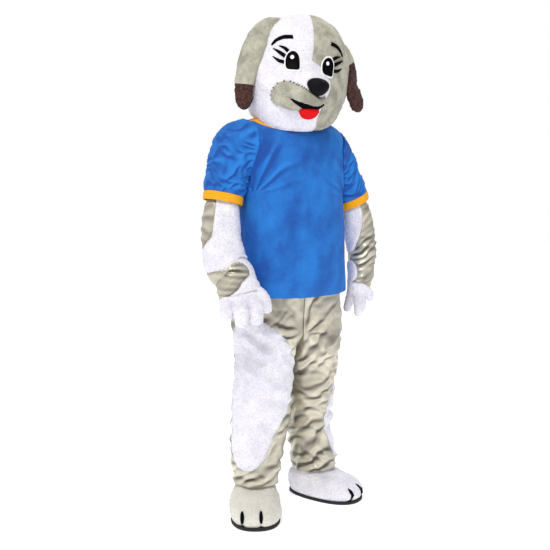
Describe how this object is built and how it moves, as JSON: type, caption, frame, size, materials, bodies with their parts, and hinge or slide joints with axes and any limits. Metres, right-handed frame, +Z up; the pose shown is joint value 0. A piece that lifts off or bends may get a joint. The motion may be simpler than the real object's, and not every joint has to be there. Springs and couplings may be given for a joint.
{
  "type": "dog mascot costume",
  "caption": "Full-body plush dog costume in a standing pose: padded head with hanging ears, T-shirt, patched suit, gloves and feet.",
  "frame": {"origin": "at the height of the wearer's shoulders, on the body's upright middle line, where the suit hangs", "axes": "+Z up, +Y to the costume's back, +X to the wearer's left; the face looks along -Y"},
  "size_m": [0.7455, 0.4344, 1.8616],
  "materials": {
    "white_plush": "short curly white plush with a nap",
    "grey_plush": "short grey-beige plush",
    "brown_plush": "curly dark brown plush",
    "satin": "shiny creased champagne-grey satin",
    "velvet": "blue velvet with a brushed nap",
    "trim": "matt yellow-orange knitted trim",
    "black_felt": "matt black felt",
    "nose_cloth": "smooth black cloth over foam",
    "eye_gloss": "glossy black",
    "eye_rim": "white felt",
    "red_felt": "bright red felt",
    "sole": "matt dark rubber"
  },
  "bodies": {
    "root": {"head_white": "white_plush", "arm_plush_right": "white_plush", "arm_plush_left": "white_plush", "forearm_plush_left": "white_plush", "leg_plush_right": "white_plush", "leg_plush_left": "white_plush", "suit_body_front": "white_plush", "suit_body_back": "white_plush", "foot_right": "white_plush", "foot_left": "white_plush", "glove_right": "white_plush", "glove_left": "white_plush", "finger_outer_right": "white_plush", "finger_middle_right": "white_plush", "finger_inner_right": "white_plush", "finger_thumb_right": "white_plush", "finger_outer_left": "white_plush", "finger_middle_left": "white_plush", "finger_inner_left": "white_plush", "finger_thumb_left": "white_plush", "head_grey": "grey_plush", "ear_right": "grey_plush", "ear_left": "grey_plush", "smile_patch": "grey_plush", "ear_tip_right": "brown_plush", "ear_tip_left": "brown_plush", "arm_satin_right": "satin", "wrist_satin_right": "satin", "arm_satin_left": "satin", "leg_satin_right": "satin", "leg_satin_left": "satin", "shirt_front": "velvet", "shirt_back": "velvet", "shirt_sleeve_right": "velvet", "shirt_sleeve_left": "velvet", "sleeve_band_right": "trim", "sleeve_band_left": "trim", "neck_band": "trim", "brow_right": "black_felt", "brow_left": "black_felt", "mouth": "black_felt", "claw_outer_right": "black_felt", "claw_inner_right": "black_felt", "claw_outer_left": "black_felt", "claw_inner_left": "black_felt", "lash_right_1": "black_felt", "lash_right_2": "black_felt", "lash_right_3": "black_felt", "lash_left_1": "black_felt", "lash_left_2": "black_felt", "lash_left_3": "black_felt", "nose": "nose_cloth", "eye_black_right": "eye_gloss", "eye_black_left": "eye_gloss", "eye_rim_right": "eye_rim", "eye_rim_left": "eye_rim", "tongue": "red_felt", "sole_right": "sole", "sole_left": "sole"}
  },
  "joints": []
}
